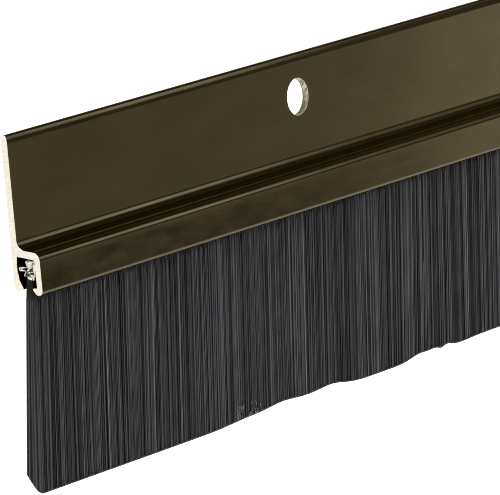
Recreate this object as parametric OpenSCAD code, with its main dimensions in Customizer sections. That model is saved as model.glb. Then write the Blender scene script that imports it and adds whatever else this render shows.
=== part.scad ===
// Brush door sweep: an extruded aluminium holder that screws to the door's face,
// with a strip brush that slides into the channel along its lower edge.
//
// Frame: +X runs along the door, -Y faces the room, +Z is up.
// The origin is on the flange's back face, at mid length, on the line of screw holes.
//
// Cross-sections are drawn as [f, z], where f is the distance in front of the door's face.

/* [Holder] */
// Length of the holder, for a standard 36 inch door
sweep_len = 914.4; // [762:0.1:1219.2]
// Height of the holder, from the flange's top edge to the hook's underside
holder_h = 31.75; // [31:0.05:33]
// Depth of the holder, from the door's face to its front wall
holder_d = 6.72; // [6.6:0.01:7]
// Thickness of the flange
flange_t = 1.5; // [1.4:0.05:1.6]
// Thickness of the channel's front wall
front_wall_t = 1.25; // [1.1:0.05:1.3]
// Thickness of the sloping shelf over the channel
shelf_t = 1.48; // [1.4:0.02:1.6]
// Slope of the shelf, which sheds water to the front
shelf_slope = 8.6; // [6:0.1:10]
// Height of the shelf's top below the screw holes, at the flange
shelf_drop = 13.56; // [13.2:0.01:13.7]
// Radius of the fillet between the flange and the shelf
fillet_r = 2; // [1:0.1:2.5]
// Radius of the shelf's outer corner
corner_r = 1.7; // [1.6:0.1:1.8]

/* [Screw holes] */
// Diameter of the screw holes
hole_d = 7.94; // [4:0.01:8]
// Distance from the flange's top edge to the holes' centres
hole_drop = 9.05; // [9:0.05:10]
// Distance from each end to the first hole
hole_from_end = 100; // [60:1:140]
// Number of screw holes
hole_count = 4; // [2:1:6]

/* [Strip brush] */
// Angle at which the brush leans back, towards the door
lean = 5.4; // [4:0.1:6]
// Width of the steel backing channel
backing_w = 2.5; // [2.3:0.05:2.5]
// Height of the steel backing channel
backing_h = 3.9; // [3.6:0.1:4]
// Thickness of the backing channel's steel
backing_t = 0.4; // [0.3:0.05:0.5]
// Diameter of the core wire that the filaments fold over
wire_d = 0.9; // [0.7:0.1:1]
// Sideways jump of the core wire where the shear pushed it out at the left end
wire_kick = 2.18; // [1.9:0.01:2.2]

/* [Bristles] */
// Length of the front filaments below the point where they bend
bristle_len = 38.35; // [20:0.05:60]
// Extra length of the front filaments over the rear ones, from the bevelled trim
trim_bevel = 3.3; // [0:0.1:5]
// Thickness of the bristles where they bend
bristle_root_t = 2.3; // [2:0.1:2.4]
// Thickness of the bristles at the tips
bristle_tip_t = 3.5; // [3:0.1:4]

/* [Hidden] */
$fn = 48;

bronze = [0.24, 0.215, 0.15];
galvanised = [0.74, 0.75, 0.76];
wire_grey = [0.62, 0.63, 0.65];
charcoal = [0.15, 0.15, 0.17];

top_z = hole_drop;
bottom_z = top_z - holder_h;
front_in = holder_d - front_wall_t;

// Back wall of the channel: it thins, then ramps forward into a rounded lip
back_f_top = flange_t - 0.25;
back_f_thin = flange_t - 0.42;
back_z_thin = [-16.4, -17.6];
back_r = 1;
back_c = [back_r, -20.9];
lip_r = 0.2;
lip_c = [2, -21.33];
ramp = 27;
ramp_foot = lip_c + lip_r * [cos(ramp), sin(ramp)];
ramp_top_z = -19.73;
ramp_top_f = ramp_foot[0] - (ramp_top_z - ramp_foot[1]) * tan(ramp);

// Hook at the foot of the front wall
hook_r = 0.95;
hook_c = [holder_d - hook_r, bottom_z + hook_r];
hook_tip_r = 0.3;
hook_tip_c = [4.75, -21.5];
hook_top_z = hook_tip_c[1] + hook_tip_r;

// Corners of the shelf
inner_corner_r = 0.35;
corner_c = [holder_d - corner_r, shelf_z(holder_d - corner_r) - corner_r / cos(shelf_slope)];
fillet_c = [flange_t + fillet_r, shelf_z(flange_t + fillet_r) + fillet_r / cos(shelf_slope)];
inner_c = [
    front_in - inner_corner_r,
    ceiling_z(front_in - inner_corner_r) - inner_corner_r / cos(shelf_slope)
];

hole_pitch = (sweep_len - 2 * hole_from_end) / (hole_count - 1);
cut_past = 1;

// The strip brush has its own axes [u, v] in the cross-section: u across it, v up along it,
// from the line where the bristles start to bend
bend_at = [3.364, -24.2];
strip_len = sweep_len - 0.4;
backing_low = 4.58;
backing_top = backing_low + backing_h;
backing_bend_r = 0.7;
grip_w = backing_w - 2 * backing_t;
grip_top = backing_top - backing_t;
grip_bend_r = backing_bend_r - backing_t;
grip_gap = 0.02;
mouth_w = 1.5;
mouth_v = 2.6;
root_low = 1.45;
wire_v = 6.56;
wire_tail = 1.6;
wire_kick_run = 3.4;
kink_overlap = 0.15;
notch_h = 1.3;
notch_len = wire_tail + wire_kick_run + 1;
arc_steps = 10;

// Height of the shelf's top surface at a distance f in front of the door
function shelf_z(f) = -shelf_drop - (f - flange_t) * tan(shelf_slope);

// Height of the shelf's underside at a distance f in front of the door
function ceiling_z(f) = shelf_z(f) - shelf_t / cos(shelf_slope);

// Angle from both centres to the line that touches two circles, on the side that is
// clockwise (side = -1) or anticlockwise (side = 1) of the way from the first to the second
function touch_angle(c1, r1, c2, r2, side) =
    let (way = atan2(c2[1] - c1[1], c2[0] - c1[0]))
    way + side * acos((r1 - r2) / norm(c2 - c1));

// Points along an arc, both ends included
function arc(centre, radius, from, to) = [
    for (i = [0 : arc_steps])
        let (a = from + (to - from) * i / arc_steps)
        centre + radius * [cos(a), sin(a)]
];

// Places a cross-section along the door, centred on its middle
module along_door(len) {
    rotate([90, 0, -90])
        linear_extrude(height = len, center = true)
            children();
}

// Places what is drawn in the strip's own axes into the holder's cross-section
module in_strip_axes() {
    translate(bend_at)
        rotate(-lean)
            children();
}

// Cross-section of the holder, anticlockwise from the front of its top edge
function holder_outline() =
    let (lip_low = touch_angle(back_c, back_r, lip_c, lip_r, -1))
    let (hook_low = touch_angle(hook_c, hook_r, hook_tip_c, hook_tip_r, 1))
    concat(
        arc([flange_t / 2, top_z - flange_t / 2], flange_t / 2, 0, 180),
        arc(back_c, back_r, 180, lip_low + 360),
        arc(lip_c, lip_r, lip_low, ramp),
        [
            [ramp_top_f, ramp_top_z],
            [back_f_thin, back_z_thin[1]],
            [back_f_thin, back_z_thin[0]],
            [back_f_top, ceiling_z(back_f_top)]
        ],
        arc(inner_c, inner_corner_r, 90 - shelf_slope, 0),
        [[front_in, hook_top_z]],
        arc(hook_tip_c, hook_tip_r, 90, hook_low),
        arc(hook_c, hook_r, hook_low, 360),
        arc(corner_c, corner_r, 0, 90 - shelf_slope),
        arc(fillet_c, fillet_r, 270 - shelf_slope, 180)
    );

module holder() {
    color(bronze)
        difference() {
            along_door(sweep_len)
                polygon(holder_outline());
            for (i = [0 : hole_count - 1])
                translate([hole_from_end - sweep_len / 2 + i * hole_pitch, cut_past, 0])
                    rotate([90, 0, 0])
                        cylinder(d = hole_d, h = flange_t + 2 * cut_past, $fn = 64);
        }
}

// Outline with rounded top corners, as bent from flat strip, over the points of its foot
function bent_strip(foot, width, top, radius) = concat(
    foot,
    arc([width / 2 - radius, top - radius], radius, 0, 90),
    arc([radius - width / 2, top - radius], radius, 90, 180)
);

// Straight foot of a given width at a given height
function straight_foot(width, low) = [[-width / 2, low], [width / 2, low]];

// Slot at the left end where the core wire was pushed out through the rear wall
module wire_slot() {
    translate([-sweep_len / 2, 0, 0])
        rotate([90, 0, 90])
            linear_extrude(height = notch_len)
                mirror([1, 0])
                    in_strip_axes()
                        translate([-backing_w, wire_v - notch_h / 2])
                            square([backing_w + wire_d / 2 + 0.1, notch_h]);
}

module backing_channel() {
    color(galvanised)
        difference() {
            along_door(strip_len)
                in_strip_axes()
                    difference() {
                        polygon(bent_strip(
                            straight_foot(backing_w, backing_low),
                            backing_w,
                            backing_top,
                            backing_bend_r
                        ));
                        polygon(bent_strip(
                            straight_foot(grip_w, backing_low - cut_past),
                            grip_w,
                            grip_top,
                            grip_bend_r
                        ));
                    }
            wire_slot();
        }
}

// Straight round rod from one point to another, run on past both by an overlap
module rod(from, to, diameter, overlap) {
    way = to - from;
    translate(from)
        rotate([0, 0, atan2(way[1], way[0])])
            rotate([0, 90, 0])
                translate([0, 0, -overlap])
                    cylinder(d = diameter, h = norm(way) + 2 * overlap);
}

// Core wire, straight from the right end, with a double kink just short of the left end
module core_wire() {
    end = strip_len / 2 - kink_overlap;
    kink = [
        [end, 0, 0],
        [wire_kick_run + wire_tail - end, 0, 0],
        [wire_tail - end, wire_kick, 0],
        [-end, wire_kick, 0]
    ];
    color(wire_grey)
        translate([0, -bend_at[0], bend_at[1]])
            rotate([lean, 0, 0])
                translate([0, 0, wire_v])
                    for (i = [0 : 2])
                        rod(kink[i], kink[i + 1], wire_d, kink_overlap);
}

// Filaments gripped in the backing, folded over the core wire, and their way to the mouth
module filament_roots() {
    width = grip_w - 2 * grip_gap;
    foot = [
        [-width / 2, backing_low],
        [-mouth_w / 2, mouth_v],
        [-mouth_w / 2, root_low],
        [mouth_w / 2, root_low],
        [mouth_w / 2, mouth_v],
        [width / 2, backing_low]
    ];
    color(charcoal)
        difference() {
            along_door(strip_len)
                in_strip_axes()
                    difference() {
                        polygon(bent_strip(foot, width, grip_top - grip_gap, grip_bend_r));
                        translate([0, wire_v])
                            circle(d = wire_d + 2 * grip_gap);
                    }
            wire_slot();
        }
}

// Free filaments as one solid, round at the top where they bend
module bristles() {
    color(charcoal)
        along_door(strip_len)
            in_strip_axes()
                polygon(concat(
                    arc([0, 0], bristle_root_t / 2, 0, 180),
                    [
                        [-bristle_tip_t / 2, trim_bevel - bristle_len],
                        [bristle_tip_t / 2, -bristle_len]
                    ]
                ));
}

holder();
backing_channel();
core_wire();
filament_roots();
bristles();
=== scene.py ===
import math

import bmesh
import bpy
import numpy as np
from mathutils import Matrix, Vector


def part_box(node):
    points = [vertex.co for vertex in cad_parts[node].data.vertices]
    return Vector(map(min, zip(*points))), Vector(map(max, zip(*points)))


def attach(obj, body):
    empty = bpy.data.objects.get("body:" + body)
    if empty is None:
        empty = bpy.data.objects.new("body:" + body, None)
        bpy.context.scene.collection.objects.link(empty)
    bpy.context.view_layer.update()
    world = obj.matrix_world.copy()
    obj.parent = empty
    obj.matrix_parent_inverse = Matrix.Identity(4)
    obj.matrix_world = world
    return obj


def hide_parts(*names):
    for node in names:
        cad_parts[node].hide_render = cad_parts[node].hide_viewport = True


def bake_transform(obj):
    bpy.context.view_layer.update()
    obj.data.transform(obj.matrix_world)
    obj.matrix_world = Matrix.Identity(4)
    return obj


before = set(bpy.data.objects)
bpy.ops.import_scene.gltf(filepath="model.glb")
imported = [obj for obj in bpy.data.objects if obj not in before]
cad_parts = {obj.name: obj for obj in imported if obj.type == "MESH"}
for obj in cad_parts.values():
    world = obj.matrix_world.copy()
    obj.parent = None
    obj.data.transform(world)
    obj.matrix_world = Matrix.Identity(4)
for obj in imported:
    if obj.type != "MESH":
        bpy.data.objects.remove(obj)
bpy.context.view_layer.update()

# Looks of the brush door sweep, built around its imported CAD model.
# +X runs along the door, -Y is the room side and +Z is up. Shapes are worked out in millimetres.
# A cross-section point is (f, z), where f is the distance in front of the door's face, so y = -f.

MM = 0.001


def box_mm(node):
    """Lowest and highest corners of a CAD node, in millimetres."""
    low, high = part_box(node)
    return np.array(low) / MM, np.array(high) / MM


# ---------------------------------------------------------------- sizes

holder_low, holder_high = box_mm("holder")
HALF_LEN = holder_high[0]
TOP_Z = holder_high[2]
BOTTOM_Z = holder_low[2]
HOLDER_D = -holder_low[1]

# Holder, as in its CAD cross-section
FLANGE_T = 1.5
FRONT_WALL_T = 1.25
SHELF_T = 1.48
SHELF_SLOPE = math.radians(8.6)
SHELF_DROP = 13.56
FILLET_R = 2.0
CORNER_R = 1.7
BACK_F_TOP = FLANGE_T - 0.25
BACK_F_THIN = FLANGE_T - 0.42
BACK_Z_THIN = (-16.4, -17.6)
BACK_R = 1.0
BACK_C = (BACK_R, -20.9)
LIP_R = 0.2
LIP_C = (2.0, -21.33)
RAMP = math.radians(27)
RAMP_TOP_Z = -19.73
HOOK_R = 0.95
HOOK_C = (HOLDER_D - HOOK_R, BOTTOM_Z + HOOK_R)
HOOK_TIP_R = 0.3
HOOK_TIP_C = (4.75, -21.5)
INNER_CORNER_R = 0.35
FRONT_IN = HOLDER_D - FRONT_WALL_T
SHOULDER_H = 1.3
SHOULDER_TILT = math.radians(13)
SAW_EDGE = 0.07
HOLDER_SHARP = math.radians(38)

# Screw holes
HOLE_R = 3.88
HOLE_FROM_END = 100.0
HOLE_COUNT = 4
HOLE_EDGE_R = 0.04
HOLE_SIDES = 96
CUT_PAST = 1.0

# Marked parts of the holder: the wall below a height, which is darker and mottled near the two ends,
# and the hook's rounded foot, given a lighter neutral colour as a painted highlight
WALL_BELOW = -16.0
WALL_FADE = 1.0
FOOT_HIGHLIGHT_BELOW = -21.75
FOOT_HIGHLIGHT_FADE = 0.3
FOOT_HIGHLIGHT_MOST = 0.75
END_MOTTLE_LEN = 150.0

# Strip brush: (u, v) are across and up the strip, from the line where the bristles start to bend
LEAN = math.radians(5.4)
BEND_AT = (3.364, -24.2)
STRIP_HALF = HALF_LEN - 0.2
BACKING_W = 2.5
BACKING_T = 0.4
BACKING_LOW = 4.58
BACKING_TOP = 8.48
BACKING_BEND_R = 0.7
BACKING_START = 1.6
WIRE_R = 0.45
WIRE_V = 6.56
WIRE_TAIL = 1.6
WIRE_KICK = 2.18
WIRE_KICK_RUN = 3.4
WIRE_END_EDGE = 0.035
CUP_R = 0.25
CUP_DEPTH = 0.3
CUP_TAPER = 0.7
CRIMP_PITCH = 3.0
CRIMP_DEPTH = 0.09
CRIMP_H = 2.0
LOOP_COUNT = 90
LOOP_R = 0.13
LOOP_RUN = 3.0
FOLD_R = 0.8
FOLD_FOOT = 0.78
FOLD_STATIONS = 400

# Bristles: a thick skin of filaments on every side of a dark core, all cut at the same trim.
# Places along the sweep are distances from its left end.
FIBRE_R = 0.096
FIBRE_PIECES = 6
FIBRE_STEPS = (0.0, 0.13, 0.29, 0.5, 1.0)
FRONT_PER_MM = 12.5
REAR_PER_MM = 8.0
END_FIBRES = 52
CORNER_FIBRES = 6
STUBS_PER_MM = 8.0
STUB_IN = 0.05
RIM_PER_MM = 9.0
RIM_H = 0.3
FRAYED_AT = (69.2, 70.5, 73.6, 75.0, 76.8)
FRAYED_SPREAD = 0.5
FRAYED_COUNT = 34
FRAYED_R = 0.07
SKIN = 0.5
PART_PITCH = 1.7
PART_REACH = 0.8
CORE_IN = 0.12
CORE_TOP_V = 2.9
FIBRE_TOP_V = 4.9
BRISTLE_LEN = 38.35
TRIM_BEVEL = 3.3

# Front and rear faces of the bristles: distance across the strip at each height along it
ENVELOPE_V = (-BRISTLE_LEN, 0.0, 2.6, FIBRE_TOP_V)
FRONT_U = (1.75, 1.15, 0.76, 0.76)
REAR_U = (-1.77, -1.10, -0.95, -0.76)


# ---------------------------------------------------------------- geometry helpers

def arc(centre, radius, start, end, steps):
    """Points along an arc in a plane, both ends included."""
    angles = np.linspace(start, end, steps + 1)
    return np.column_stack((centre[0] + radius * np.cos(angles), centre[1] + radius * np.sin(angles)))


def touch_angle(c1, r1, c2, r2, side):
    """Angle from two circles' centres to the line that touches both, on one side of their way."""
    dx, dy = c2[0] - c1[0], c2[1] - c1[1]
    return math.atan2(dy, dx) + side * math.acos((r1 - r2) / math.hypot(dx, dy))


def shelf_z(f):
    """Height of the shelf's top surface at a distance in front of the door."""
    return -SHELF_DROP - (f - FLANGE_T) * math.tan(SHELF_SLOPE)


def ceiling_z(f):
    """Height of the shelf's underside."""
    return shelf_z(f) - SHELF_T / math.cos(SHELF_SLOPE)


def tangent_centre(f, height, radius, side):
    """Centre of an arc that touches a sloping line from above (side 1) or below (side -1)."""
    return (f, height(f) + side * radius / math.cos(SHELF_SLOPE))


def outward(points):
    """Mitred outward normals of a closed anticlockwise outline."""
    after = np.roll(points, -1, 0) - points
    before = points - np.roll(points, 1, 0)

    def side(d):
        d = d / np.linalg.norm(d, axis=1)[:, None]
        return np.column_stack((d[:, 1], -d[:, 0]))

    a, b = side(after), side(before)
    total = a + b
    total /= np.linalg.norm(total, axis=1)[:, None]
    return total / np.maximum((total * a).sum(1), 0.5)[:, None]


def in_row(x, section):
    """Row-frame points of a cross-section at one place along the door."""
    section = np.asarray(section)
    return np.column_stack((np.full(len(section), x), -section[:, 0], section[:, 1]))


def strip_to_row(x, u, v):
    """Row-frame points from the strip's own coordinates."""
    f = BEND_AT[0] + u * math.cos(LEAN) + v * math.sin(LEAN)
    z = BEND_AT[1] - u * math.sin(LEAN) + v * math.cos(LEAN)
    return np.stack(np.broadcast_arrays(x, -f, z), -1)


def eased(t):
    """0 to 1 with a level start and end."""
    return t * t * (3 - 2 * t)


def smooth_noise(x, spacing, seed):
    """Smooth random wave of about unit size along a line."""
    draw = np.random.default_rng(seed)
    low = math.floor(x.min() / spacing) - 1
    knots = draw.uniform(-1, 1, int(math.ceil(x.max() / spacing)) - low + 3)
    place = x / spacing - low
    i = np.floor(place).astype(int)
    t = eased(place - i)
    return knots[i] * (1 - t) + knots[i + 1] * t


def link_object(name, data):
    """New object in the scene for a mesh, light or camera."""
    obj = bpy.data.objects.new(name, data)
    bpy.context.scene.collection.objects.link(obj)
    return obj


def turn_faces_outward(mesh):
    """Makes every face of a closed mesh point out of it."""
    shell = bmesh.new()
    shell.from_mesh(mesh)
    bmesh.ops.recalc_face_normals(shell, faces=shell.faces)
    shell.to_mesh(mesh)
    shell.free()


def keep_on_vertices(mesh, attribute, values):
    """Stores one number for each vertex on a mesh, for its material to read."""
    kept = mesh.attributes.new(attribute, "FLOAT", "POINT")
    kept.data.foreach_set("value", np.asarray(values, np.float32))


def mesh_object(name, points, faces, materials, sharp_deg=None, face_slots=None):
    """Smooth-shaded mesh object from points in millimetres."""
    mesh = bpy.data.meshes.new(name)
    mesh.from_pydata(np.asarray(points) * MM, [], faces)
    for material in materials:
        mesh.materials.append(material)
    if face_slots is not None:
        mesh.polygons.foreach_set("material_index", np.asarray(face_slots, np.int32))
    mesh.shade_smooth()
    turn_faces_outward(mesh)
    if sharp_deg is not None:
        mesh.set_sharp_from_angle(angle=math.radians(sharp_deg))
    return link_object(name, mesh)


def ring_faces(rings, per_ring, capped=True):
    """Quads of a tube of rings, with a flat face at each end."""
    r = np.arange(rings - 1)[:, None] * per_ring
    k = np.arange(per_ring)[None, :]
    k_next = (k + 1) % per_ring
    quads = np.stack((r + k, r + k_next, r + per_ring + k_next, r + per_ring + k), -1)
    faces = quads.reshape(-1, 4).tolist()
    if capped:
        faces.append(list(range(per_ring)))
        faces.append(list(range((rings - 1) * per_ring, rings * per_ring)))
    return faces


def apply_modifiers(obj):
    """Bakes an object's modifiers into its mesh."""
    depsgraph = bpy.context.evaluated_depsgraph_get()
    finished = bpy.data.meshes.new_from_object(obj.evaluated_get(depsgraph))
    obj.modifiers.clear()
    obj.data = finished


# ---------------------------------------------------------------- materials

def new_material(name, **settings):
    """Principled material, with constant values set on the shader's own sockets."""
    material = bpy.data.materials.new(name)
    material.use_nodes = True
    shader = material.node_tree.nodes["Principled BSDF"]
    for socket, value in settings.items():
        shader.inputs[socket.replace("_", " ")].default_value = value
    return material, material.node_tree, shader


def node(tree, kind, links=None, **settings):
    """Adds a node. links gives each input a value or another node's output."""
    made = tree.nodes.new("ShaderNode" + kind)
    for key, value in settings.items():
        setattr(made, key, value)
    for key, value in (links or {}).items():
        if isinstance(value, bpy.types.NodeSocket):
            tree.links.new(value, made.inputs[key])
        else:
            made.inputs[key].default_value = value
    return made


def object_noise(tree, scale, stretch=(1, 1, 1), detail=3.0, roughness=0.5):
    """Noise over the object's own coordinates, stretched along its axes."""
    where = node(tree, "TexCoord").outputs["Object"]
    mapped = node(tree, "Mapping", {"Vector": where, "Scale": stretch}).outputs["Vector"]
    return node(tree, "TexNoise", {
        "Vector": mapped, "Scale": scale, "Detail": detail, "Roughness": roughness,
    }).outputs["Fac"]


def ramp(tree, fac, stops):
    """Colour ramp from (place, colour) stops."""
    made = node(tree, "ValToRGB", {"Fac": fac})
    elements = made.color_ramp.elements
    while len(elements) < len(stops):
        elements.new(1.0)
    for element, (place, colour) in zip(elements, stops):
        element.position = place
        element.color = (*colour, 1.0)
    return made.outputs["Color"]


def grey(value):
    """Colour with no hue."""
    return (value, value, value)


def feed(tree, shader, socket, fac, stops):
    """Drives one of the shader's sockets by a colour ramp."""
    tree.links.new(ramp(tree, fac, stops), shader.inputs[socket])


def add_bump(tree, shader, height, strength, distance):
    """Lets a pattern raise the shader's surface, by a distance in metres."""
    bump = node(tree, "Bump", {"Height": height, "Strength": strength, "Distance": distance})
    tree.links.new(bump.outputs["Normal"], shader.inputs["Normal"])


def object_place(tree, axis):
    """The object's own coordinate along one axis."""
    where = node(tree, "TexCoord").outputs["Object"]
    return node(tree, "SeparateXYZ", {"Vector": where}).outputs[axis]


def fade(tree, value, start, end, most=1.0):
    """Rises from 0 to most while a value in metres goes from start to end, in millimetres."""
    return node(tree, "MapRange", {
        "Value": value, "From Min": start * MM, "From Max": end * MM, "To Max": most,
    }).outputs["Result"]


def mix_colours(tree, factor, first, second, blend="MIX"):
    """Blend of two colours."""
    mixed = node(tree, "Mix", {"Factor": factor, "A": first, "B": second},
                 data_type="RGBA", blend_type=blend)
    return mixed.outputs["Result"]


def wall_part(tree):
    """1 on the holder's front wall, 0 on the flange."""
    return fade(tree, object_place(tree, "Z"), WALL_BELOW, WALL_BELOW - WALL_FADE)


def foot_highlight_part(tree):
    """Above 0 only on the hook's rounded foot, where a lighter neutral colour paints a highlight."""
    height = object_place(tree, "Z")
    return fade(tree, height, FOOT_HIGHLIGHT_BELOW, FOOT_HIGHLIGHT_BELOW - FOOT_HIGHLIGHT_FADE, FOOT_HIGHLIGHT_MOST)


def end_part(tree):
    """1 near the two ends and 0 along its middle."""
    along = object_place(tree, "X")
    out = node(tree, "Math", {0: along}, operation="ABSOLUTE").outputs["Value"]
    return fade(tree, out, HALF_LEN - END_MOTTLE_LEN, HALF_LEN - END_MOTTLE_LEN / 2)


def make_bronze():
    """Dark bronze anodised aluminium: faint die lines along it, darker mottling near the ends, and a
    painted highlight on the foot.
    """
    material, tree, shader = new_material(
        "bronze_anodised", Metallic=1.0, Specular_Tint=(0.88, 0.81, 0.66, 1.0))
    lines = object_noise(tree, 700.0, (0.004, 1, 1), detail=4.0)
    clouds = object_noise(tree, 70.0, (0.7, 1.6, 1.6), detail=4.0, roughness=0.6)
    mixed = node(tree, "Mix", {"Factor": 0.35, "A": clouds, "B": lines}).outputs["Result"]
    colour = ramp(tree, mixed, [(0.3, (0.0210, 0.0165, 0.0092)), (0.7, (0.0322, 0.0254, 0.0140))])
    # Darker, mottled colour on the front wall near the two ends
    end_noise = object_noise(tree, 330.0, (0.4, 1, 1), detail=4.0, roughness=0.6)
    end_mottle = ramp(tree, end_noise, [(0.38, grey(0.30)), (0.64, grey(0.72))])
    wall_ends = node(tree, "Math", {0: end_part(tree), 1: wall_part(tree)}, operation="MULTIPLY")
    mottled = mix_colours(tree, wall_ends.outputs["Value"], colour, end_mottle, "MULTIPLY")
    # Painted highlight: the hook's rounded foot takes a lighter, neutral colour, so its lower edge
    # shows as a broad bright line
    foot_highlighted = mix_colours(tree, foot_highlight_part(tree), mottled, (0.092, 0.088, 0.076, 1.0))
    tree.links.new(foot_highlighted, shader.inputs["Base Color"])
    feed(tree, shader, "Roughness", lines, [(0.2, grey(0.10)), (0.8, grey(0.135))])
    add_bump(tree, shader, lines, 0.06, 0.00005)
    return material


def make_bare_aluminium():
    """Bright sawn aluminium with fine tool marks."""
    material, tree, shader = new_material("bare_aluminium", Metallic=0.9)
    marks = object_noise(tree, 2600.0, (0.3, 0.25, 1), detail=5.0)
    feed(tree, shader, "Base Color", marks, [(0.3, (0.665, 0.64, 0.585)), (0.65, (0.78, 0.75, 0.70))])
    feed(tree, shader, "Roughness", marks, [(0.2, grey(0.32)), (0.8, grey(0.5))])
    add_bump(tree, shader, marks, 0.3, 0.00006)
    return material


def make_drilled_aluminium():
    """Wall of a drilled hole: bright and scuffed at the front, torn and dark towards the back."""
    material, tree, shader = new_material("drilled_aluminium", Metallic=0.85)
    depth = object_place(tree, "Y")
    marks = object_noise(tree, 800.0, (1, 1.4, 1), detail=4.0, roughness=0.7)
    ragged = node(tree, "Math", {0: marks, 1: 5.0 * MM, 2: -2.5 * MM}, operation="MULTIPLY_ADD")
    torn = node(tree, "Math", {0: depth, 1: ragged.outputs["Value"]}, operation="ADD")
    feed(tree, shader, "Base Color", fade(tree, torn.outputs["Value"], -1.3, -0.2), [
        (0.0, (0.34, 0.31, 0.24)),
        (0.2, (0.66, 0.63, 0.54)),
        (0.4, (0.26, 0.24, 0.19)),
        (0.58, (0.09, 0.08, 0.06)),
        (0.8, (0.40, 0.38, 0.32)),
        (1.0, (0.20, 0.18, 0.14)),
    ])
    feed(tree, shader, "Roughness", marks, [(0.2, grey(0.3)), (0.8, grey(0.55))])
    add_bump(tree, shader, marks, 0.6, 0.0002)
    return material


def make_galvanised():
    """Zinc-coated strip: bright and scuffed, with painted shade in the creases and hollows of its
    crushed end.
    """
    material, tree, shader = new_material("galvanised_steel", Metallic=1.0)
    scuffs = object_noise(tree, 1300.0, detail=4.0, roughness=0.7)
    grain = object_noise(tree, 2400.0, (0.02, 1, 1))
    crease_shade = node(tree, "Attribute", attribute_name="crease_shade").outputs["Fac"]
    shade = ramp(tree, scuffs, [
        (0.38, (0.34, 0.325, 0.29)), (0.5, (0.66, 0.645, 0.60)), (0.62, (0.90, 0.89, 0.86)),
    ])
    # Painted shade: a per-vertex value darkens the crushed end's creases and hollows, and the sleeve
    # leading to it, towards black
    dark = mix_colours(tree, crease_shade, shade, (0.05, 0.05, 0.05, 1.0))
    tree.links.new(dark, shader.inputs["Base Color"])
    feed(tree, shader, "Roughness", grain, [(0.2, grey(0.22)), (0.8, grey(0.38))])
    add_bump(tree, shader, grain, 0.15, 0.00004)
    return material


def make_wire_steel():
    """Drawn steel wire: duller than the strip around it."""
    material, tree, shader = new_material("steel_wire", Metallic=1.0)
    grain = object_noise(tree, 1800.0, (0.02, 1, 1))
    feed(tree, shader, "Base Color", grain, [(0.2, grey(0.6)), (0.8, grey(0.78))])
    feed(tree, shader, "Roughness", grain, [(0.2, grey(0.28)), (0.8, grey(0.42))])
    return material


def make_filament():
    """Charcoal synthetic filaments: each has its own tone, kept on the mesh."""
    material, tree, shader = new_material("filament", Roughness=0.42, Specular_IOR_Level=0.2)
    tone = node(tree, "Attribute", attribute_name="tone").outputs["Fac"]
    feed(tree, shader, "Base Color", tone, [
        (0.0, (0.001, 0.001, 0.001)),
        (0.3, (0.017, 0.017, 0.021)),
        (0.6, (0.104, 0.106, 0.129)),
        (1.0, (0.400, 0.405, 0.465)),
    ])
    return material


BRONZE = make_bronze()
BARE = make_bare_aluminium()
DRILLED = make_drilled_aluminium()
ZINC = make_galvanised()
WIRE_STEEL = make_wire_steel()
FILAMENT = make_filament()

# The holder's finishes, in the order of its material slots
HOLDER_FINISHES = [BRONZE, BARE, DRILLED]
BRONZE_SLOT, BARE_SLOT, DRILLED_SLOT = range(len(HOLDER_FINISHES))


# ---------------------------------------------------------------- holder

def top_edge():
    """Rounded top edge of the flange, over a soft shoulder down its front."""
    fall = SHOULDER_H * math.tan(SHOULDER_TILT) / 2
    radius = (FLANGE_T - fall) / (1 + math.cos(SHOULDER_TILT))
    low = TOP_Z - radius * (1 - math.sin(SHOULDER_TILT)) - SHOULDER_H
    t = np.linspace(0, 1, 9)
    shoulder = np.column_stack((FLANGE_T - fall * t ** 2, low + SHOULDER_H * t))
    crown = arc((radius, TOP_Z - radius), radius, SHOULDER_TILT, math.pi, 20)
    return np.vstack((shoulder[:-1], crown))


def holder_outline():
    """Cross-section of the holder, anticlockwise from the front of its top edge."""
    lip_low = touch_angle(BACK_C, BACK_R, LIP_C, LIP_R, -1)
    hook_low = touch_angle(HOOK_C, HOOK_R, HOOK_TIP_C, HOOK_TIP_R, 1)
    ramp_foot = (LIP_C[0] + LIP_R * math.cos(RAMP), LIP_C[1] + LIP_R * math.sin(RAMP))
    ramp_top_f = ramp_foot[0] - (RAMP_TOP_Z - ramp_foot[1]) * math.tan(RAMP)
    upright = math.pi / 2 - SHELF_SLOPE
    inner_c = tangent_centre(FRONT_IN - INNER_CORNER_R, ceiling_z, INNER_CORNER_R, -1)
    corner_c = tangent_centre(HOLDER_D - CORNER_R, shelf_z, CORNER_R, -1)
    fillet_c = tangent_centre(FLANGE_T + FILLET_R, shelf_z, FILLET_R, 1)
    back = [
        (ramp_top_f, RAMP_TOP_Z),
        (BACK_F_THIN, BACK_Z_THIN[1]),
        (BACK_F_THIN, BACK_Z_THIN[0]),
        (BACK_F_TOP, ceiling_z(BACK_F_TOP)),
    ]
    return np.vstack((
        top_edge(),
        arc(BACK_C, BACK_R, math.pi, lip_low + 2 * math.pi, 12),
        arc(LIP_C, LIP_R, lip_low, RAMP, 8),
        back,
        arc(inner_c, INNER_CORNER_R, upright, 0, 8),
        [(FRONT_IN, HOOK_TIP_C[1] + HOOK_TIP_R)],
        arc(HOOK_TIP_C, HOOK_TIP_R, math.pi / 2, hook_low, 10),
        arc(HOOK_C, HOOK_R, hook_low, 2 * math.pi, 18),
        arc(corner_c, CORNER_R, 0, upright, 16),
        arc(fillet_c, FILLET_R, 3 * math.pi / 2 - SHELF_SLOPE, math.pi, 16),
    ))


def hole_centres():
    """Places of the screw holes along the holder."""
    pitch = 2 * (HALF_LEN - HOLE_FROM_END) / (HOLE_COUNT - 1)
    return [HOLE_FROM_END - HALF_LEN + i * pitch for i in range(HOLE_COUNT)]


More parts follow.
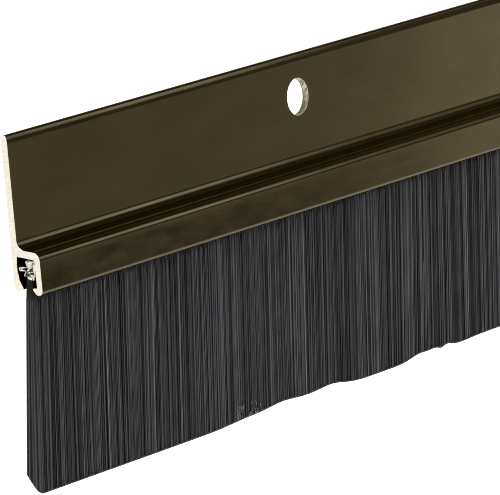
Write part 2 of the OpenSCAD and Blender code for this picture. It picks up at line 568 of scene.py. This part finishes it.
def hole_cutters():
    """Closed turned shapes that cut the screw holes with a softly rolled edge at the front."""
    rolled_c = (HOLE_R + HOLE_EDGE_R, FLANGE_T - HOLE_EDGE_R)
    rolled = arc(rolled_c, HOLE_EDGE_R, math.pi, math.pi / 2, 4)
    profile = np.vstack((
        [(HOLE_R, -CUT_PAST)], rolled, [(HOLE_R + 2 * HOLE_EDGE_R, FLANGE_T + CUT_PAST)],
    ))
    turn = np.linspace(0, 2 * math.pi, HOLE_SIDES, endpoint=False)
    points, faces = [], []
    for centre in hole_centres():
        first = sum(len(p) for p in points)
        for radius, f in profile:
            x = centre + radius * np.cos(turn)
            points.append(np.column_stack((x, np.full(HOLE_SIDES, -f), radius * np.sin(turn))))
        faces += [[first + i for i in face] for face in ring_faces(len(profile), HOLE_SIDES)]
    slots = [DRILLED_SLOT] * len(faces)
    return mesh_object("hole_cutters", np.vstack(points), faces, HOLDER_FINISHES, face_slots=slots)


def make_holder():
    """The extrusion: swept along the door, its sawn edges eased, and drilled."""
    outline = holder_outline()
    inset = outline - outward(outline) * SAW_EDGE
    stations = [
        (-HALF_LEN, inset), (SAW_EDGE - HALF_LEN, outline),
        (HALF_LEN - SAW_EDGE, outline), (HALF_LEN, inset),
    ]
    points = np.vstack([in_row(x, section) for x, section in stations])
    per_ring = len(outline)
    faces = ring_faces(len(stations), per_ring)
    eased_edge = [BARE_SLOT] * per_ring
    sawn_ends = [BARE_SLOT] * 2
    slots = eased_edge + [BRONZE_SLOT] * per_ring + eased_edge + sawn_ends
    holder = mesh_object("holder_extrusion", points, faces, HOLDER_FINISHES, face_slots=slots)
    cutters = hole_cutters()
    cut = holder.modifiers.new("holes", "BOOLEAN")
    cut.solver = "EXACT"
    cut.object = cutters
    apply_modifiers(holder)
    bpy.data.objects.remove(cutters)
    holder.data.shade_smooth()
    holder.data.set_sharp_from_angle(angle=HOLDER_SHARP)
    weigh = holder.modifiers.new("normals", "WEIGHTED_NORMAL")
    weigh.keep_sharp = True
    apply_modifiers(holder)
    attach(holder, "holder")
    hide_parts("holder")


make_holder()


# ---------------------------------------------------------------- strip brush

def finish_strip_piece(obj, cad_node):
    """Rides a piece on the strip brush, in place of a CAD node where it has one."""
    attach(obj, "strip_brush")
    if cad_node:
        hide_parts(cad_node)


def bent_strip(half, top, radius):
    """One face of the folded strip, from its right foot over the top to its left foot."""
    return np.vstack((
        [(half, BACKING_LOW)],
        arc((half - radius, top - radius), radius, 0, math.pi / 2, 6),
        arc((radius - half, top - radius), radius, math.pi / 2, math.pi, 6),
        [(-half, BACKING_LOW)],
    ))


def make_backing():
    """Galvanised strip folded round the filaments, with the rollers' crimp marks on both legs."""
    outside = bent_strip(BACKING_W / 2, BACKING_TOP, BACKING_BEND_R)
    inside = bent_strip(
        BACKING_W / 2 - BACKING_T, BACKING_TOP - BACKING_T, BACKING_BEND_R - BACKING_T)
    outline = np.vstack((outside, inside[::-1]))
    xs = np.arange(BACKING_START - STRIP_HALF, STRIP_HALF, CRIMP_PITCH / 4)
    xs = np.append(xs, STRIP_HALF)
    depths = CRIMP_DEPTH * (0.5 + 0.5 * np.cos(2 * math.pi * xs / CRIMP_PITCH))
    low_part = np.clip((BACKING_LOW + CRIMP_H - outline[:, 1]) / CRIMP_H, 0, 1)
    rings = []
    for x, depth in zip(xs, depths):
        u = outline[:, 0] * (1 - depth * low_part / (BACKING_W / 2))
        rings.append(strip_to_row(x, u, outline[:, 1]))
    faces = ring_faces(len(xs), len(outline))
    backing = mesh_object("backing_strip", np.vstack(rings), faces, [ZINC], sharp_deg=50.0)
    finish_strip_piece(backing, "backing_channel")


# Outline of the crushed end of the backing, anticlockwise from its lower right, as (across, up)
SHEARED_OUTLINE = [
    (1.17, 4.75), (1.36, 6.40), (1.36, 7.90), (1.05, 8.60), (0.20, 8.74), (-0.80, 8.76),
    (-1.18, 8.35), (-1.34, 7.60), (-1.02, 7.15), (-0.80, 6.73), (-1.12, 6.25), (-1.52, 5.73),
    (-1.42, 5.02), (-1.02, 5.02), (-0.98, 4.66), (-0.29, 4.36), (0.60, 4.40),
]
# Lobes of the crushed metal: (across, up, half width, half height, how far it stands out)
LOBES = [
    (-0.30, 7.60, 0.80, 1.10, 0.86),
    (0.42, 8.25, 0.80, 0.42, 0.66),
    (-0.98, 8.05, 0.34, 0.62, 0.60),
    (0.98, 7.05, 0.62, 1.40, 0.66),
    (-1.02, 7.35, 0.30, 0.30, 0.50),
    (-0.66, 6.42, 0.36, 0.30, 0.54),
    (1.05, 5.65, 0.36, 0.75, 0.56),
    (0.12, 5.00, 1.12, 0.76, 0.88),
    (-1.30, 5.55, 0.22, 0.62, 0.70),
    (-0.50, 5.90, 0.40, 0.24, 0.50),
    (0.20, 6.10, 0.24, 0.20, 0.46),
]
CRUMPLE_DEPTH = 0.9
# Crushed metal that stands out less than this gets painted shade, the more the lower it lies
CREASE_SHADE_BELOW = 0.42
WRINKLE_H = 0.07
SHEARED_CENTRE = (0.1, 6.6)
SHEARED_RUN = 2.6
SHEARED_CLEAR = 0.02
SHEARED_SIDES = 96
SHEARED_RINGS = 50
SLEEVE_RINGS = 8
SLEEVE_SHADE = 0.25
# Torn prongs: heights at the core wire's end and at the backing, then what both share
PRONGS = [(6.86, 7.05), (6.26, 6.15)]
PRONG_R = 0.085
PRONG_FLARE = 0.5
PRONG_U = -1.85
PRONG_REACH = 1.1
PRONG_IN = 0.18
PRONG_BOW = 0.35


def crumple(u, v):
    """How far the crushed metal stands out at each place of the sheared end."""
    domes = [
        h * np.sqrt(np.clip(1 - ((u - cu) / ru) ** 2 - ((v - cv) / rv) ** 2, 0, 1))
        for cu, cv, ru, rv, h in LOBES
    ]
    wrinkle = WRINKLE_H * np.sin(9.0 * u + 5.0 * v) * np.sin(11.0 * v - 4.0 * u + 1.0)
    return np.clip(np.max(domes, axis=0) + wrinkle, 0, CRUMPLE_DEPTH)


def cut_corners(points, times):
    """Closed outline with its corners cut again and again, which rounds them."""
    for _ in range(times):
        after = np.roll(points, -1, 0)
        pairs = np.stack((0.75 * points + 0.25 * after, 0.25 * points + 0.75 * after), 1)
        points = pairs.reshape(-1, 2)
    return points


def rounded_box(centre, half, radius, steps):
    """Outline of a box with rounded corners, anticlockwise from its lower right."""
    corners = [(1, -1, -0.5), (1, 1, 0.0), (-1, 1, 0.5), (-1, -1, 1.0)]
    return np.vstack([
        arc((centre[0] + a * (half[0] - radius), centre[1] + b * (half[1] - radius)),
            radius, start * math.pi, (start + 0.5) * math.pi, steps)
        for a, b, start in corners
    ])


def at_angles(outline, centre, angles):
    """Points of a closed outline in given directions from a centre."""
    away = outline - centre
    turn = np.unwrap(np.arctan2(away[:, 1], away[:, 0]))
    turn = np.concatenate((turn, [turn[0] + 2 * math.pi]))
    reach = np.linalg.norm(away, axis=1)
    reach = np.concatenate((reach, reach[:1]))
    found = np.interp(np.mod(angles - turn[0], 2 * math.pi) + turn[0], turn, reach)
    return centre + found[:, None] * np.column_stack((np.cos(angles), np.sin(angles)))


def bent_prong(near_v, far_v):
    """Thin tongue torn from the backing's rear wall, bent out to the core wire's end."""
    turn = np.linspace(0, 2 * math.pi, 10, endpoint=False)
    rings = []
    for t in np.linspace(0, 1, 7):
        u = PRONG_U + PRONG_REACH * t
        v = near_v + (far_v - near_v) * t ** 2
        x = -HALF_LEN + PRONG_IN + PRONG_BOW * math.sin(math.pi * t)
        radius = PRONG_R * (1 + PRONG_FLARE * t)
        rings.append(strip_to_row(x + radius * np.sin(turn), u, v + radius * np.cos(turn)))
    return np.vstack(rings), ring_faces(len(rings), len(turn))


def make_sheared_end():
    """Left end of the backing, crushed shut by the shear: lobes, folds and torn prongs."""
    centre = np.array(SHEARED_CENTRE)
    mid_v = (BACKING_LOW + BACKING_TOP) / 2
    half = (BACKING_W / 2 - SHEARED_CLEAR, mid_v - BACKING_LOW)
    angles = np.linspace(0, 2 * math.pi, SHEARED_SIDES, endpoint=False)
    inner = at_angles(rounded_box((0, mid_v), half, BACKING_BEND_R, 12), centre, angles)
    outer = at_angles(cut_corners(np.array(SHEARED_OUTLINE), 2), centre, angles)
    rings, crease_shades = [], []
    for t in np.linspace(0, 1, SLEEVE_RINGS):
        bulge = eased(t)
        u, v = (inner * (1 - bulge) + outer * bulge).T
        x = -HALF_LEN + CRUMPLE_DEPTH + (SHEARED_RUN - CRUMPLE_DEPTH) * (1 - t)
        rings.append(strip_to_row(x, u, v))
        # Painted shade, growing along the sleeve towards the crushed end
        crease_shades.append(np.full(len(u), SLEEVE_SHADE * t))
    for scale in np.linspace(1.0, 0.02, SHEARED_RINGS):
        u, v = (centre + (outer - centre) * scale).T
        out = crumple(u, v)
        rings.append(strip_to_row(-HALF_LEN + SHEARED_CLEAR + CRUMPLE_DEPTH - out, u, v))
        # Painted shade: darker where the crushed metal stands out less
        crease_shades.append(np.clip(1 - out / CREASE_SHADE_BELOW, 0, 1))
    points = np.vstack(rings)
    faces = ring_faces(len(rings), len(angles))
    for near_v, far_v in PRONGS:
        added, prong_faces = bent_prong(near_v, far_v)
        faces += [[len(points) + i for i in face] for face in prong_faces]
        points = np.vstack((points, added))
        crease_shades.append(np.zeros(len(added)))
    end = mesh_object("backing_sheared_end", points, faces, [ZINC], sharp_deg=70.0)
    keep_on_vertices(end.data, "crease_shade", np.concatenate(crease_shades))
    finish_strip_piece(end, None)


def make_wire():
    """Core wire: straight in the backing, kicked out towards the door at the sheared end."""
    left = -STRIP_HALF
    knee = left + WIRE_TAIL + WIRE_KICK_RUN
    xs = np.concatenate((
        [left, left + 0.03], np.linspace(left + 0.2, knee + 1.5, 24),
        np.linspace(knee + 10, STRIP_HALF - 0.05, 12), [STRIP_HALF - 0.02, STRIP_HALF],
    ))
    us = -WIRE_KICK * (1 - eased(np.clip((xs - left - WIRE_TAIL) / WIRE_KICK_RUN, 0, 1)))
    radii = np.full(len(xs), WIRE_R)
    radii[[0, -1]] = WIRE_R - WIRE_END_EDGE
    cup_r = CUP_TAPER * CUP_R
    turn = np.linspace(0, 2 * math.pi, 24, endpoint=False)
    rings = [
        strip_to_row(x, u + r * np.cos(turn), WIRE_V + r * np.sin(turn))
        for x, u, r in [(left + CUP_DEPTH, us[0], cup_r), (left, us[0], CUP_R), *zip(xs, us, radii)]
    ]
    faces = ring_faces(len(rings), len(turn))
    wire = mesh_object("wire", np.vstack(rings), faces, [WIRE_STEEL], sharp_deg=45.0)
    finish_strip_piece(wire, "core_wire")


def tube_mesh(name, paths, radius, spin, tone):
    """Three-sided closed tubes, one for each path of an (n, rings, 3) array, as one mesh."""
    count, rings = paths.shape[:2]
    k = np.arange(3)
    angle = spin[:, None] + 2 * math.pi * k / 3
    offset = np.zeros((count, 3, 3))
    offset[..., 0] = np.cos(angle)
    offset[..., 1] = np.sin(angle)
    points = paths[:, :, None, :] + offset[:, None, :, :] * radius[:, None, None, None]
    base = (np.arange(count) * rings * 3)[:, None, None]
    r = (np.arange(rings - 1) * 3)[None, :, None]
    k_next = (k + 1) % 3
    corner = base + r
    quads = np.stack((corner + k, corner + k_next, corner + 3 + k_next, corner + 3 + k), -1)
    quads = quads.reshape(-1, 4)
    first = base[:, 0] + np.array([2, 1, 0])
    last = base[:, 0] + (rings - 1) * 3 + np.array([0, 1, 2])
    tris = np.vstack((first, last))
    mesh = bpy.data.meshes.new(name)
    points = points.reshape(-1, 3) * MM
    mesh.vertices.add(len(points))
    mesh.vertices.foreach_set("co", points.ravel())
    corners = np.concatenate((quads.ravel(), tris.ravel()))
    sizes = np.concatenate((np.full(len(quads), 4), np.full(len(tris), 3)))
    mesh.loops.add(len(corners))
    mesh.loops.foreach_set("vertex_index", corners.astype(np.int32))
    mesh.polygons.add(len(sizes))
    starts = np.concatenate(([0], np.cumsum(sizes)[:-1]))
    mesh.polygons.foreach_set("loop_start", starts.astype(np.int32))
    mesh.update(calc_edges=True)
    mesh.validate()
    mesh.shade_smooth()
    mesh.materials.append(FILAMENT)
    keep_on_vertices(mesh, "tone", np.repeat(tone.reshape(-1), 3))
    return link_object(name, mesh)


# Waves of the trimmed edge near the left end: (distance from the end, width, rise)
TRIM_BUMPS = [
    (85, 7, 1.15), (73, 9, 0.55), (103, 6.5, 1.2), (94, 6, 0.5),
    (137, 5, 1.0), (146, 5, 0.8), (160, 8, 0.55), (170, 6, 0.5),
    (142, 2.0, 0.26), (145.2, 1.2, -0.30), (148, 1.8, 0.22),
]
TRIM_BUMPS_TO = 178.0
TRIM_CORNER = (0.35, 0.7)
TRIM_MOST = 1.6


def trim_rise(x):
    """How much shorter than the longest the bristles are trimmed, along the sweep."""
    along = x + HALF_LEN
    rise = sum(h * np.exp(-((along - at) / w) ** 2) for at, w, h in TRIM_BUMPS)
    rest = 0.55 + 0.35 * smooth_noise(along, 9.0, 11) + 0.25 * smooth_noise(along, 23.0, 12)
    beyond = np.clip((along - TRIM_BUMPS_TO) / 10, 0, 1)
    corner = TRIM_CORNER[0] * np.exp(-(along / TRIM_CORNER[1]) ** 2)
    return np.clip(rise * (1 - beyond) + rest * beyond, 0, TRIM_MOST) + corner


def trim_v(x, across):
    """Height of the trimmed surface; across is -1 at the rear face and 1 at the front face."""
    rear = (1 - across) / 2
    return -BRISTLE_LEN + TRIM_BEVEL * rear ** 1.4 + trim_rise(x)


def across_to_u(across, v):
    """Distance across the strip, from -1 at the rear face to 1 at the front face at a height."""
    front = np.interp(v, ENVELOPE_V, FRONT_U)
    rear = np.interp(v, ENVELOPE_V, REAR_U)
    return (front + rear) / 2 + across * ((front - rear) / 2 - FIBRE_R)


def blend_to_bristles(piece):
    """Bakes a bristle piece's placement into its mesh."""
    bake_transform(piece)


def fibre_roots(draw):
    """Where each filament starts, and how far across the strip it is, in order along the sweep."""
    low, high = FIBRE_R - 0.08 - STRIP_HALF, STRIP_HALF + 0.08 - FIBRE_R
    skins = []
    for per_mm, side in ((FRONT_PER_MM, 1), (REAR_PER_MM, -1)):
        count = int(per_mm * (high - low))
        x = low + (np.arange(count) + draw.uniform(0, 1, count)) / count * (high - low)
        skins.append((x, side * (1 - SKIN * draw.uniform(0, 1, count) ** 1.6)))
    for end, way in ((low, 1), (high, -1)):
        inward = draw.uniform(0, 1, END_FIBRES) ** 2
        skins.append((end + way * 0.25 * inward, draw.uniform(-1, 1, END_FIBRES)))
        corner = draw.uniform(0, 1, 2 * CORNER_FIBRES)
        side = np.repeat([-1, 1], CORNER_FIBRES)
        out = 1 - 0.06 * draw.uniform(0, 1, 2 * CORNER_FIBRES)
        skins.append((end + way * 0.12 * corner, side * out))
    x, across = (np.concatenate(part) for part in zip(*skins))
    order = np.argsort(x, kind="stable")
    return x[order], across[order], low, high


# How far the filaments' tips lean, in long waves, in short waves and each by itself
LEAN_LONG = 0.30
LEAN_SHORT = 0.13
LEAN_OWN = 0.08
# A few filaments stray further
STRAY_SHARE = 0.04
STRAY_LEAN = 1.0
# How far the others part, curl, and cross the strip, and how unevenly they are cut
PULL = 0.12
CURL = 0.035
CROSSING = 0.05
UNEVEN_CUT = 0.04
# Filaments this near to an end of the brush hang straighter
NEAR_END = 0.5
NEAR_END_LEAN = 0.15


def fibre_paths(draw, x0, across, low, high):
    """Filaments that hang nearly straight, lean and part a little, and end at the trim.

    Also gives each ring's height, and how far down its filament it is, from 0 to 1.
    """
    n = len(x0)
    lean = LEAN_LONG * smooth_noise(x0, 19.0, 1) + LEAN_SHORT * smooth_noise(x0, 4.0, 2)
    lean += draw.normal(0, LEAN_OWN, n)
    lean += np.where(draw.uniform(0, 1, n) < STRAY_SHARE, draw.normal(0, STRAY_LEAN, n), 0)
    parting = 0.5 + 0.5 * smooth_noise(x0 + 40 * (across > 0), 2.2, 5)
    centre = np.round(x0 / PART_PITCH + 0.5 * smooth_noise(x0, 5.0, 6)) * PART_PITCH
    pull = PULL * parting ** 2 * np.clip(centre - x0, -PART_REACH, PART_REACH)
    curl = draw.normal(0, CURL, n)
    across_tip = np.clip(across + draw.normal(0, CROSSING, n), -1, 1)
    near_end = np.minimum(x0 - low, high - x0) < NEAR_END
    to_tip = np.where(near_end, NEAR_END_LEAN, 1) * (lean + pull)
    curl = np.where(near_end, 0, curl)
    tip_v = trim_v(np.clip(x0 + to_tip, low, high), across_tip)
    tip_v += UNEVEN_CUT * draw.uniform(0, 1, n)

    steps = np.array(FIBRE_STEPS)
    above = np.tile([FIBRE_TOP_V, ENVELOPE_V[2]], (n, 1))
    v = np.concatenate((above, steps * tip_v[:, None]), 1)
    t = np.concatenate((np.zeros((n, 2)), np.tile(steps, (n, 1))), 1)
    x = x0[:, None] + to_tip[:, None] * t ** 1.15 + curl[:, None] * np.sin(math.pi * t)
    u = across_to_u(across[:, None] * (1 - t) + across_tip[:, None] * t, v)
    return strip_to_row(np.clip(x, low, high), u, v), v, t


# Tones of the filaments: the least, then what each filament, group, strand and long wave adds
TONE_LEAST = 0.18
TONE_OWN = 0.28
TONE_GROUP = 0.03
TONE_STRAND = 0.18
TONE_LONG = 0.03
# Shares of brighter filaments, as painted highlights, and of nearly black ones, as painted shade in
# the gaps between filaments
BRIGHT_SHARE = 0.06
BRIGHT_GAIN = (0.12, 0.3)
BLACK_SHARE = 0.2
BLACK_FACTOR = 0.2
# Height above the bend where the hook shades them, and what is left of the tone there
SHADED_V = 2.2
SHADED_FACTOR = 0.35


def fibre_tones(draw, x0, across, v, t):
    """Tone of each ring of each filament: some bright as painted highlights, some nearly black as
    painted shade in the gaps, all darker upwards as painted shade under the hook.
    """
    n = len(x0)
    group = 0.5 + 0.5 * smooth_noise(x0 + 7 * across, 1.3, 9)
    strand = 0.5 + 0.5 * smooth_noise(x0 + 1.8 * across, 0.2, 10)
    tone = TONE_LEAST + TONE_OWN * draw.uniform(0, 1, n)
    tone = tone + TONE_GROUP * group + TONE_STRAND * strand ** 1.5
    tone += TONE_LONG * smooth_noise(x0, 160.0, 265)
    # Painted highlights on a few brighter filaments, and painted gap shade on the nearly black ones
    tone += np.where(draw.uniform(0, 1, n) < BRIGHT_SHARE, draw.uniform(*BRIGHT_GAIN, n), 0)
    tone *= np.where(draw.uniform(0, 1, n) < BLACK_SHARE, BLACK_FACTOR, 1.0)
    shade = np.interp(v, (0, SHADED_V), (1, SHADED_FACTOR))
    return np.clip(tone[:, None] * shade * (0.85 + 0.15 * t), 0, 1)


def make_fibres():
    """Skin of the brush, in several pieces along it."""
    draw = np.random.default_rng(7)
    x0, across, low, high = fibre_roots(draw)
    n = len(x0)
    paths, v, t = fibre_paths(draw, x0, across, low, high)
    tone = fibre_tones(draw, x0, across, v, t)
    radius = FIBRE_R * draw.uniform(0.8, 1.1, n)
    spin = draw.uniform(0, 2 * math.pi, n)
    for i, part in enumerate(np.array_split(np.arange(n), FIBRE_PIECES)):
        name = f"bristles_{i + 1}"
        piece = tube_mesh(name, paths[part], radius[part], spin[part], tone[part])
        blend_to_bristles(piece)
        if i == 0:
            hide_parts("bristles")


def make_core():
    """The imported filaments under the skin, as one dark body that stops just short of the trim."""
    inner_xs = np.arange(1 - STRIP_HALF, STRIP_HALF, 1.0)
    xs = np.concatenate(([CORE_IN - STRIP_HALF], inner_xs, [STRIP_HALF - CORE_IN]))
    down = np.array([0.05, 0.12, 0.2, 0.3, 0.42, 0.56, 0.75, 1.0])
    bevel = np.linspace(1, -1, 7)
    side = np.ones(len(down) + 1)
    across = np.concatenate((side, bevel[1:-1], -side))
    inward = CORE_IN * np.where(np.abs(across) == 1, across, 0)
    rings = []
    for x in xs:
        front_v = down * (trim_v(x, 1.0) + CORE_IN)
        rear_v = down * (trim_v(x, -1.0) + CORE_IN)
        low_v = trim_v(x, bevel[1:-1]) + CORE_IN
        v = np.concatenate(([CORE_TOP_V], front_v, low_v, rear_v[::-1], [CORE_TOP_V]))
        rings.append(strip_to_row(x, across_to_u(across, v) - inward, v))
    faces = ring_faces(len(xs), len(across))
    core = mesh_object("bristle_core", np.vstack(rings), faces, [FILAMENT], sharp_deg=40.0)
    # Tone 0, the darkest, paints the shade deep among the filaments, which shows between those of the
    # skin
    keep_on_vertices(core.data, "tone", np.zeros(len(core.data.vertices)))
    blend_to_bristles(core)


def make_stubs():
    """Cut tips of the filaments: over the whole trimmed surface, and closer along its rim."""
    draw = np.random.default_rng(8)
    low, high = FIBRE_R + STUB_IN - STRIP_HALF, STRIP_HALF - FIBRE_R - STUB_IN
    inside = int(STUBS_PER_MM * 2 * STRIP_HALF)
    rim = int(RIM_PER_MM * 2 * STRIP_HALF)
    end_rim = int(RIM_PER_MM * 4)
    x = np.concatenate((
        draw.uniform(low, high, inside), np.tile(np.linspace(low, high, rim), 2),
        np.repeat([low, high], end_rim),
    ))
    across = np.concatenate((
        draw.uniform(-1, 1, inside), np.repeat([-1, 1], rim),
        np.tile(np.linspace(-1, 1, end_rim), 2),
    ))
    count = len(x)
    both = np.zeros((1, 2))
    tip = trim_v(x, across)
    v = np.stack((tip + RIM_H, tip), 1)
    paths = strip_to_row(x[:, None] + both, across_to_u(across, tip)[:, None] + both, v)
    tone = (0.2 + 0.35 * draw.uniform(0, 1, count))[:, None] + both
    spin = draw.uniform(0, 6, count)
    blend_to_bristles(tube_mesh("bristle_tips", paths, np.full(count, FIBRE_R), spin, tone))


def make_frayed_tips():
    """Short curled filaments that the trimming tore, over the front face near the left end."""
    draw = np.random.default_rng(31)
    x0 = draw.choice(FRAYED_AT, FRAYED_COUNT) + draw.normal(0, FRAYED_SPREAD, FRAYED_COUNT)
    x0 -= HALF_LEN
    t = np.linspace(0, 1, 7)
    curl = draw.uniform(-1, 1, FRAYED_COUNT)[:, None]
    x = x0[:, None] + 0.8 * curl * np.sin(2.4 * t)
    rise = draw.uniform(0.3, 1.0, FRAYED_COUNT) * draw.choice([1.0, 3.2], FRAYED_COUNT)
    drop = draw.uniform(0.5, 1.5, FRAYED_COUNT)[:, None] * t
    v = np.maximum((trim_v(x0, 1.0) + rise)[:, None] - drop, trim_v(x, 1.0) + 0.03)
    u = across_to_u(1.0, v) + 0.04 + 0.08 * np.sin(math.pi * t)
    tone = draw.uniform(0.40, 0.82, FRAYED_COUNT)[:, None] + np.zeros_like(x)
    spin = draw.uniform(0, 6, FRAYED_COUNT)
    radius = np.full(FRAYED_COUNT, FRAYED_R)
    blend_to_bristles(tube_mesh("frayed_tips", strip_to_row(x, u, v), radius, spin, tone))


def make_loops():
    """Filaments folded over the core wire, loop by loop, at the backing's open right end."""
    draw = np.random.default_rng(21)
    n = LOOP_COUNT
    turn = np.linspace(0, math.pi, 9)
    span = draw.uniform(0.58, 0.8, n)[:, None]
    legs_v = np.array([BACKING_LOW + 0.1, BACKING_LOW + 1.0])
    over_v = WIRE_V + span * 1.05 * np.sin(turn)
    two = np.ones((1, 2))
    u = np.concatenate((span * two, span * np.cos(turn), -span * two), 1)
    v = np.concatenate((np.tile(legs_v, (n, 1)), over_v, np.tile(legs_v[::-1], (n, 1))), 1)
    back = np.sort(draw.uniform(0, LOOP_RUN, n))[:, None]
    x = STRIP_HALF - 0.2 - back + np.zeros_like(u)
    tone = 0.3 + 0.4 * draw.uniform(0, 1, n)[:, None] + np.zeros_like(u)
    spin = draw.uniform(0, 6, n)
    loops = tube_mesh("filament_loops", strip_to_row(x, u, v), np.full(n, LOOP_R), spin, tone)
    finish_strip_piece(loops, None)


def make_folds():
    """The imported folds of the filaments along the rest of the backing, ribbed along their top."""
    foot_v = BACKING_LOW + 0.1
    arch = np.vstack((
        [(-FOLD_FOOT, foot_v), (FOLD_FOOT, foot_v)],
        arc((0, WIRE_V), FOLD_R, 0, math.pi, 12),
    ))
    xs = np.linspace(-STRIP_HALF + 2.0, STRIP_HALF - 2.0, FOLD_STATIONS)
    rings = [
        strip_to_row(x, arch[:, 0] * (1 - 0.03 * (i % 2)), arch[:, 1]) for i, x in enumerate(xs)
    ]
    faces = ring_faces(len(xs), len(arch))
    folds = mesh_object("filament_folds", np.vstack(rings), faces, [FILAMENT], sharp_deg=40.0)
    keep_on_vertices(folds.data, "tone", np.full(len(folds.data.vertices), 0.4))
    finish_strip_piece(folds, "filament_roots")


make_backing()
make_sheared_end()
make_wire()
make_fibres()
make_core()
make_stubs()
make_frayed_tips()
make_loops()
make_folds()


# ---------------------------------------------------------------- floor, light and camera

FLOOR_Z = -0.25
FLOOR_X = (-20.0, 20.0)
FLOOR_Y = (-1.3, 20.0)
HORIZON = (0.58, 0.50, 0.35)


def make_floor():
    """Plain pale floor, from a little way in front of the sweep to far behind it."""
    material, tree, shader = new_material("pale_floor", Roughness=0.9, Specular_IOR_Level=0.1)
    tint = object_noise(tree, 2.0)
    tree.links.new(ramp(tree, tint, [(0, grey(0.955)), (1, grey(0.97))]), shader.inputs["Base Color"])
    mesh = bpy.data.meshes.new("floor")
    corners = [(x, y, FLOOR_Z) for x, y in zip(FLOOR_X + FLOOR_X[::-1], np.repeat(FLOOR_Y, 2))]
    mesh.from_pydata(corners, [], [(0, 1, 2, 3)])
    mesh.materials.append(material)
    floor = link_object("floor", mesh)


def make_world():
    """Soft studio surround: warm and darker at the horizon, pale above it, darker overhead.

    It is a little dimmer behind the door's plane, and plain white where the camera sees it.
    """
    world = bpy.data.worlds.new("studio")
    world.use_nodes = True
    tree = world.node_tree
    direction = node(tree, "TexCoord").outputs["Generated"]
    parts = node(tree, "SeparateXYZ", {"Vector": direction})
    up = node(tree, "MapRange", {"Value": parts.outputs["Z"], "From Min": -0.2, "From Max": 1.0})
    surround = ramp(tree, up.outputs["Result"], [
        (0.15, HORIZON),
        (0.29, HORIZON),
        (0.325, grey(1.35)),
        (0.50, grey(1.25)),
        (0.55, (0.34, 0.285, 0.17)),
        (1.0, (0.27, 0.22, 0.12)),
    ])
    behind = node(tree, "MapRange", {
        "Value": parts.outputs["Y"], "From Min": -0.25, "From Max": 0.1,
        "To Min": 1.0, "To Max": 0.95,
    })
    dimmed = mix_colours(tree, 1.0, surround, behind.outputs["Result"], "MULTIPLY")
    seen = node(tree, "LightPath").outputs["Is Camera Ray"]
    shown = mix_colours(tree, seen, dimmed, (1.0, 1.0, 1.0, 1.0))
    tree.links.new(shown, tree.nodes["Background"].inputs["Color"])
    bpy.context.scene.world = world


def make_sun(towards, strength, angle_deg):
    """Broad soft light from overhead."""
    light = bpy.data.lights.new("overhead", "SUN")
    light.energy = strength
    light.angle = math.radians(angle_deg)
    sun = link_object("overhead", light)
    sun.rotation_euler = Vector(towards).to_track_quat("-Z", "Y").to_euler()


def make_card(name, centre, size, tilt_deg, radiance, colour):
    """Upright soft light that faces the door, turned in its own plane by the tilt."""
    light = bpy.data.lights.new(name, "AREA")
    light.shape = "RECTANGLE"
    light.size, light.size_y = size
    light.energy = radiance * math.pi * size[0] * size[1]
    light.color = colour
    card = link_object(name, light)
    card.location = centre
    facing = Vector((0, 1, 0)).to_track_quat("-Z", "Y").to_matrix()
    card.rotation_euler = (Matrix.Rotation(math.radians(tilt_deg), 3, "Y") @ facing).to_euler()
    card.visible_camera = False


make_floor()
make_world()
make_sun(towards=(0.15, 0.3, -1.0), strength=3.6, angle_deg=50)
make_card("right_card", centre=(1.02, -0.69, -0.18), size=(0.60, 0.12), tilt_deg=0.0,
          radiance=1.85, colour=(0.82, 0.88, 1.0))
make_card("left_card", centre=(0.584, -0.69, 0.31), size=(0.15, 0.52), tilt_deg=22.0,
          radiance=5.5, colour=(0.78, 0.87, 1.0))

# The camera: its place round the point that it looks at, in degrees and millimetres
VIEW_AZIMUTH = -144.55
VIEW_ELEVATION = 9.285
VIEW_ROLL = -5.151
VIEW_DISTANCE = 1386.2
VIEW_AIM = (-368.51, 5.98, -29.80)
LENS_MM = 482.55
SENSOR_MM = 36.0


def make_camera():
    """Camera that looks at its aim from an azimuth, elevation, roll and distance."""
    azimuth = math.radians(VIEW_AZIMUTH)
    elevation = math.radians(VIEW_ELEVATION)
    roll = math.radians(VIEW_ROLL)
    flat = math.cos(elevation)
    back = Vector((flat * math.cos(azimuth), flat * math.sin(azimuth), math.sin(elevation)))
    level = Vector((0, 0, 1)).cross(back).normalized()
    upward = back.cross(level)
    right = math.cos(roll) * level + math.sin(roll) * upward
    up = back.cross(right)
    data = bpy.data.cameras.new("camera")
    data.sensor_fit = "HORIZONTAL"
    data.sensor_width = SENSOR_MM
    data.lens = LENS_MM
    camera = link_object("camera", data)
    place = (Vector(VIEW_AIM) + VIEW_DISTANCE * back) * MM
    turned = Matrix((right, up, back)).transposed().to_4x4()
    camera.matrix_world = Matrix.Translation(place) @ turned
    bpy.context.scene.camera = camera


make_camera()
bpy.context.scene.view_settings.view_transform = "Standard"
bpy.context.scene.cycles.filter_width = 1.0
